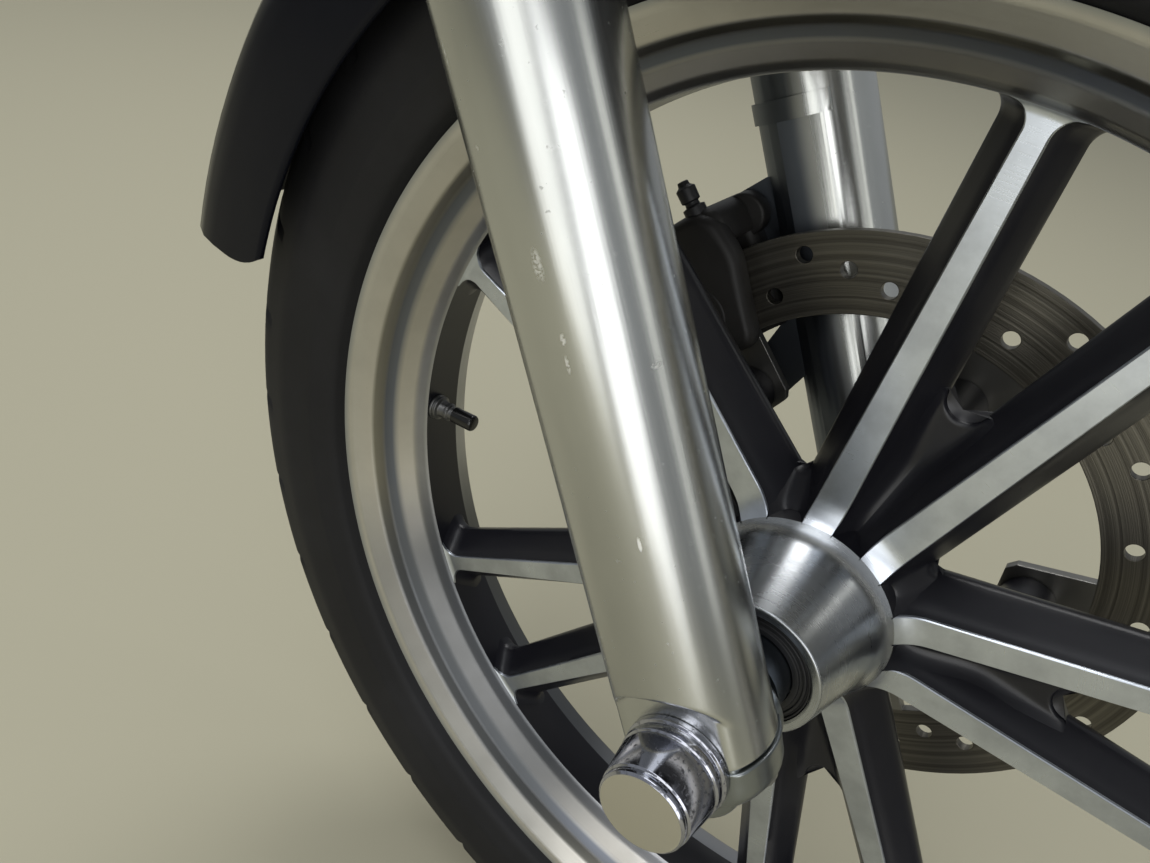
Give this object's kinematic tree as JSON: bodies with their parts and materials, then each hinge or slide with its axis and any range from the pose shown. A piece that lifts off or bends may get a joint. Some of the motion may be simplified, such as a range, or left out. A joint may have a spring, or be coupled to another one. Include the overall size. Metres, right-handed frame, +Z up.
{
  "type": "motorcycle front fork and wheel",
  "caption": "Raked telescopic front fork with two yokes, fender, disc brake and a cast split-spoke wheel on a through axle, turning on a steering stem.",
  "frame": {"origin": "on the steering axis, midway between the two head bearing cups", "axes": "+X forward, +Y to the rider's left, +Z up as the machine stands; the steering axis leans back 30 degrees from +Z in the XZ plane"},
  "size_m": [0.8112, 0.3068, 1.0496],
  "materials": {
    "wheel_metal": "machined faces with black painted windows",
    "tyre": "dull",
    "rubber_black": "matt",
    "disc_steel": "worn, with fine rings",
    "bolt_steel": "plain",
    "chrome": "bright",
    "slider_metal": "satin, brushed along the leg",
    "yoke_paint": "semi-gloss black",
    "yoke_metal": "satin",
    "fender_paint": "gloss, very dark blue",
    "caliper_paint": "semi-gloss dark grey",
    "pad": "dull",
    "spacer_steel": "dull",
    "bracket_paint": "black"
  },
  "bodies": {
    "head": {"head_cup_lower": "bolt_steel", "head_cup_upper": "bolt_steel"},
    "fork": {"axle": "bolt_steel", "axle_nut": "bolt_steel", "axle_cover_right": "chrome", "axle_cover_left": "chrome", "axle_clamp_right": "slider_metal", "slider_right": "slider_metal", "slider_left": "slider_metal", "lower_yoke": "yoke_paint", "upper_yoke": "yoke_metal", "steering_stem": "bolt_steel", "stem_nut": "chrome", "head_race_lower": "bolt_steel", "head_race_upper": "bolt_steel", "fender": "fender_paint", "caliper": "caliper_paint", "brake_pads": "pad", "bleed_nipple": "rubber_black", "spacer_right": "spacer_steel", "spacer_left": "spacer_steel", "fork_tube_right": "chrome", "fork_tube_left": "chrome", "dust_seal_right": "rubber_black", "dust_seal_left": "rubber_black", "fork_cap_right": "chrome", "fork_cap_left": "chrome", "fender_bracket_right": "bracket_paint", "fender_bracket_left": "bracket_paint"},
    "wheel": {"cast_wheel": "wheel_metal", "tyre": "tyre", "valve": "rubber_black", "brake_disc": "disc_steel", "disc_bolts": "bolt_steel", "bearing_right": "bolt_steel", "bearing_left": "bolt_steel", "hub_seal_right": "rubber_black", "hub_seal_left": "rubber_black"}
  },
  "joints": [
    {"name": "steering", "type": "hinge", "parent": "head", "child": "fork", "pos_m": [0, 0, 0], "axis": [-0.5, 0, 0.866], "range_deg": [-37, 37]},
    {"name": "wheel_spin", "type": "hinge", "parent": "fork", "child": "wheel", "pos_m": [0.39873, 0, -0.57462], "axis": [0, 1, 0], "continuous": true}
  ]
}
